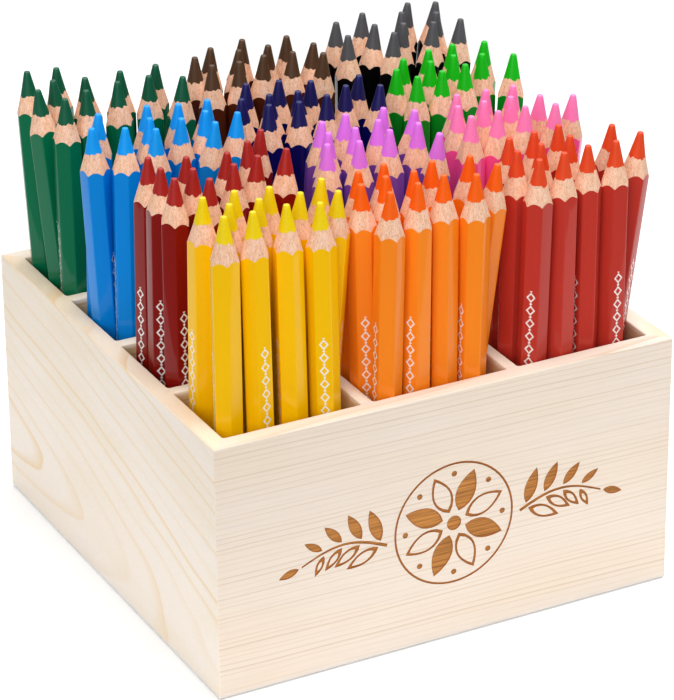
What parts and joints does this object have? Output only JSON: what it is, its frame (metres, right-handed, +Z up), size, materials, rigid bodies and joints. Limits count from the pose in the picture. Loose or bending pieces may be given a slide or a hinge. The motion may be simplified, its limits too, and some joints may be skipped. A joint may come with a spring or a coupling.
{
  "type": "compartment box with pencils",
  "caption": "Open square wooden box with crossed dividers, each compartment holding a set of thick hexagonal coloured pencils, points up, that lift out.",
  "frame": {"origin": "centre of the box's underside, on the surface it stands on", "axes": "+X to the right seen from the front, +Y to the back, +Z up along the pencils"},
  "size_m": [0.19, 0.19, 0.1801],
  "materials": {
    "pale_wood": "bare pale spruce, sanded smooth, eased edges",
    "yellow_lacquer": "gloss yellow lacquer on wood, bare wood at the sharpened cone",
    "yellow_lead": "satin yellow wax and pigment core",
    "orange_lacquer": "gloss orange lacquer on wood, bare wood at the sharpened cone",
    "orange_lead": "satin orange wax and pigment core",
    "vermilion_lacquer": "gloss vermilion lacquer on wood, bare wood at the sharpened cone",
    "vermilion_lead": "satin vermilion wax and pigment core",
    "carmine_lacquer": "gloss carmine lacquer on wood, bare wood at the sharpened cone",
    "carmine_lead": "satin carmine wax and pigment core",
    "violet_lacquer": "gloss violet lacquer on wood, bare wood at the sharpened cone",
    "violet_lead": "satin violet wax and pigment core",
    "pink_lacquer": "gloss pink lacquer on wood, bare wood at the sharpened cone",
    "pink_lead": "satin pink wax and pigment core",
    "light_blue_lacquer": "gloss light blue lacquer on wood, bare wood at the sharpened cone",
    "light_blue_lead": "satin light blue wax and pigment core",
    "navy_lacquer": "gloss navy lacquer on wood, bare wood at the sharpened cone",
    "navy_lead": "satin navy wax and pigment core",
    "light_green_lacquer": "gloss light green lacquer on wood, bare wood at the sharpened cone",
    "light_green_lead": "satin light green wax and pigment core",
    "dark_green_lacquer": "gloss dark green lacquer on wood, bare wood at the sharpened cone",
    "dark_green_lead": "satin dark green wax and pigment core",
    "brown_lacquer": "gloss brown lacquer on wood, bare wood at the sharpened cone",
    "brown_lead": "satin brown wax and pigment core",
    "black_lacquer": "gloss black lacquer on wood, bare wood at the sharpened cone",
    "black_lead": "satin black wax and pigment core"
  },
  "bodies": {
    "box": {"front_wall": "pale_wood", "back_wall": "pale_wood", "left_wall": "pale_wood", "right_wall": "pale_wood", "bottom_panel": "pale_wood", "long_divider_1": "pale_wood", "long_divider_2": "pale_wood", "cross_divider_1": "pale_wood", "cross_divider_2": "pale_wood", "cross_divider_3": "pale_wood"},
    "yellow_set": {"yellow_casings": "yellow_lacquer", "yellow_leads": "yellow_lead"},
    "yellow_single": {"yellow_single_casing": "yellow_lacquer", "yellow_single_lead": "yellow_lead"},
    "orange_set": {"orange_casings": "orange_lacquer", "orange_leads": "orange_lead"},
    "orange_single": {"orange_single_casing": "orange_lacquer", "orange_single_lead": "orange_lead"},
    "vermilion_set": {"vermilion_casings": "vermilion_lacquer", "vermilion_leads": "vermilion_lead"},
    "vermilion_single": {"vermilion_single_casing": "vermilion_lacquer", "vermilion_single_lead": "vermilion_lead"},
    "carmine_set": {"carmine_casings": "carmine_lacquer", "carmine_leads": "carmine_lead"},
    "carmine_single": {"carmine_single_casing": "carmine_lacquer", "carmine_single_lead": "carmine_lead"},
    "violet_set": {"violet_casings": "violet_lacquer", "violet_leads": "violet_lead"},
    "violet_single": {"violet_single_casing": "violet_lacquer", "violet_single_lead": "violet_lead"},
    "pink_set": {"pink_casings": "pink_lacquer", "pink_leads": "pink_lead"},
    "pink_single": {"pink_single_casing": "pink_lacquer", "pink_single_lead": "pink_lead"},
    "light_blue_set": {"light_blue_casings": "light_blue_lacquer", "light_blue_leads": "light_blue_lead"},
    "light_blue_single": {"light_blue_single_casing": "light_blue_lacquer", "light_blue_single_lead": "light_blue_lead"},
    "navy_set": {"navy_casings": "navy_lacquer", "navy_leads": "navy_lead"},
    "navy_single": {"navy_single_casing": "navy_lacquer", "navy_single_lead": "navy_lead"},
    "light_green_set": {"light_green_casings": "light_green_lacquer", "light_green_leads": "light_green_lead"},
    "light_green_single": {"light_green_single_casing": "light_green_lacquer", "light_green_single_lead": "light_green_lead"},
    "dark_green_set": {"dark_green_casings": "dark_green_lacquer", "dark_green_leads": "dark_green_lead"},
    "dark_green_single": {"dark_green_single_casing": "dark_green_lacquer", "dark_green_single_lead": "dark_green_lead"},
    "brown_set": {"brown_casings": "brown_lacquer", "brown_leads": "brown_lead"},
    "brown_single": {"brown_single_casing": "brown_lacquer", "brown_single_lead": "brown_lead"},
    "black_set": {"black_casings": "black_lacquer", "black_leads": "black_lead"},
    "black_single": {"black_single_casing": "black_lacquer", "black_single_lead": "black_lead"}
  },
  "joints": [
    {"name": "yellow_set_lift", "type": "slide", "parent": "box", "child": "yellow_set", "axis": [0, 0, 1], "range_m": [0, 0.105]},
    {"name": "yellow_single_draw", "type": "slide", "parent": "yellow_set", "child": "yellow_single", "axis": [0.0332, 0.0031, 0.9994], "range_m": [0, 0.18]},
    {"name": "orange_set_lift", "type": "slide", "parent": "box", "child": "orange_set", "axis": [0, 0, 1], "range_m": [0, 0.105]},
    {"name": "orange_single_draw", "type": "slide", "parent": "orange_set", "child": "orange_single", "axis": [-0.0257, -0.0094, 0.9996], "range_m": [0, 0.18]},
    {"name": "vermilion_set_lift", "type": "slide", "parent": "box", "child": "vermilion_set", "axis": [0, 0, 1], "range_m": [0, 0.105]},
    {"name": "vermilion_single_draw", "type": "slide", "parent": "vermilion_set", "child": "vermilion_single", "axis": [0.0124, 0.0006, 0.9999], "range_m": [0, 0.18]},
    {"name": "carmine_set_lift", "type": "slide", "parent": "box", "child": "carmine_set", "axis": [0, 0, 1], "range_m": [0, 0.105]},
    {"name": "carmine_single_draw", "type": "slide", "parent": "carmine_set", "child": "carmine_single", "axis": [0.0028, -0.0628, 0.998], "range_m": [0, 0.18]},
    {"name": "violet_set_lift", "type": "slide", "parent": "box", "child": "violet_set", "axis": [0, 0, 1], "range_m": [0, 0.105]},
    {"name": "violet_single_draw", "type": "slide", "parent": "violet_set", "child": "violet_single", "axis": [0.022, -0.0062, 0.9997], "range_m": [0, 0.18]},
    {"name": "pink_set_lift", "type": "slide", "parent": "box", "child": "pink_set", "axis": [0, 0, 1], "range_m": [0, 0.105]},
    {"name": "pink_single_draw", "type": "slide", "parent": "pink_set", "child": "pink_single", "axis": [0.0076, -0.0048, 1], "range_m": [0, 0.18]},
    {"name": "light_blue_set_lift", "type": "slide", "parent": "box", "child": "light_blue_set", "axis": [0, 0, 1], "range_m": [0, 0.105]},
    {"name": "light_blue_single_draw", "type": "slide", "parent": "light_blue_set", "child": "light_blue_single", "axis": [0.0204, -0.0075, 0.9998], "range_m": [0, 0.18]},
    {"name": "navy_set_lift", "type": "slide", "parent": "box", "child": "navy_set", "axis": [0, 0, 1], "range_m": [0, 0.105]},
    {"name": "navy_single_draw", "type": "slide", "parent": "navy_set", "child": "navy_single", "axis": [-0.0428, -0.0228, 0.9988], "range_m": [0, 0.18]},
    {"name": "light_green_set_lift", "type": "slide", "parent": "box", "child": "light_green_set", "axis": [0, 0, 1], "range_m": [0, 0.105]},
    {"name": "light_green_single_draw", "type": "slide", "parent": "light_green_set", "child": "light_green_single", "axis": [0.018, -0.0071, 0.9998], "range_m": [0, 0.18]},
    {"name": "dark_green_set_lift", "type": "slide", "parent": "box", "child": "dark_green_set", "axis": [0, 0, 1], "range_m": [0, 0.105]},
    {"name": "dark_green_single_draw", "type": "slide", "parent": "dark_green_set", "child": "dark_green_single", "axis": [-0.0696, -0.0711, 0.995], "range_m": [0, 0.18]},
    {"name": "brown_set_lift", "type": "slide", "parent": "box", "child": "brown_set", "axis": [0, 0, 1], "range_m": [0, 0.105]},
    {"name": "brown_single_draw", "type": "slide", "parent": "brown_set", "child": "brown_single", "axis": [0.0483, -0.0295, 0.9984], "range_m": [0, 0.18]},
    {"name": "black_set_lift", "type": "slide", "parent": "box", "child": "black_set", "axis": [0, 0, 1], "range_m": [0, 0.105]},
    {"name": "black_single_draw", "type": "slide", "parent": "black_set", "child": "black_single", "axis": [0.0733, -0.0195, 0.9971], "range_m": [0, 0.18]}
  ]
}
